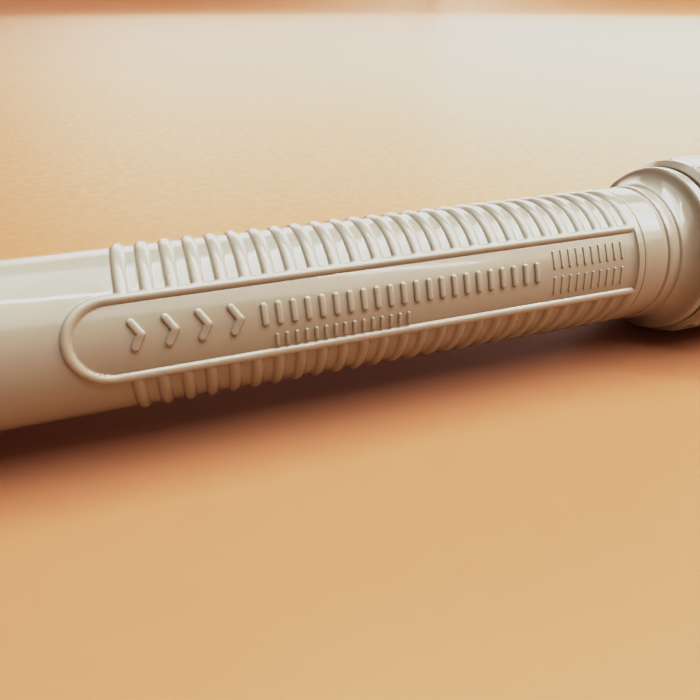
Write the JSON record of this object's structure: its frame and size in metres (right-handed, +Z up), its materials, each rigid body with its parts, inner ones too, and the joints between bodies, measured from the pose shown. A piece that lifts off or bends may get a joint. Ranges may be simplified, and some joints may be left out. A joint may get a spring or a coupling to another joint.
{
  "type": "desoldering pump",
  "caption": "Spring-loaded desoldering pump: ribbed ivory barrel with a blank name panel, screw-on fluted nose cap and heat-proof nozzle, thumb button latch and rear push knob.",
  "frame": {"origin": "below the middle of the released pump, on the surface that its two fluted collars lie on", "axes": "+X along the pump's axis towards the nozzle, +Z up with the push button on top, the name panel faces -Y and 19 degrees up"},
  "size_m": [0.236, 0.0308, 0.0304],
  "materials": {
    "ivory_shell": "glossy moulded ivory plastic",
    "charcoal_plastic": "satin moulded plastic",
    "natural_plastic": "natural acetal, machined and moulded",
    "nozzle_white": "waxy white heat-proof fluoroplastic",
    "bright_steel": "turned and ground steel",
    "spring_steel": "drawn spring wire",
    "bush_brass": "turned brass",
    "black_rubber": "matt nitrile rubber"
  },
  "bodies": {
    "barrel": {"barrel": "ivory_shell", "rear_cap": "ivory_shell", "front_gasket": "black_rubber", "chamber_bulkhead": "natural_plastic", "damper_ring": "black_rubber", "latch_housing": "natural_plastic", "rod_bush": "bush_brass", "main_spring": "spring_steel", "button_spring": "spring_steel"},
    "plunger": {"plunger_rod": "bright_steel", "spring_collar": "natural_plastic", "collar_clip": "spring_steel", "latch_cone": "bright_steel", "piston": "natural_plastic", "piston_ring": "black_rubber", "cleaning_pin": "bright_steel", "plunger_knob": "ivory_shell", "knob_screw": "bright_steel"},
    "trigger": {"button": "charcoal_plastic", "latch_plate": "bright_steel"},
    "nose": {"nozzle": "nozzle_white", "nozzle_seal": "black_rubber", "nozzle_retainer": "spring_steel"},
    "cap": {"front_cap": "ivory_shell"}
  },
  "joints": [
    {"name": "plunger_slide", "type": "slide", "parent": "barrel", "child": "plunger", "axis": [1, 0, 0], "range_m": [0, 0.04], "stiffness_N_per_m": 250, "springref_m": -0.03, "deforming": ["main_spring"]},
    {"name": "button_press", "type": "slide", "parent": "barrel", "child": "trigger", "axis": [0, 0, -1], "range_m": [0, 0.0022], "stiffness_N_per_m": 200, "springref_m": -0.004, "deforming": ["button_spring"]},
    {"name": "nose_slide", "type": "slide", "parent": "barrel", "child": "nose", "axis": [1, 0, 0], "range_m": [0, 0.0075]},
    {"name": "cap_turn", "type": "hinge", "parent": "nose", "child": "cap", "pos_m": [0.088, 0, 0.0152], "axis": [1, 0, 0], "range_deg": [0, 900]}
  ],
  "couplings": [
    {"joint": "nose_slide", "follows": "cap_turn", "m_per_rad": 0.00047746}
  ]
}
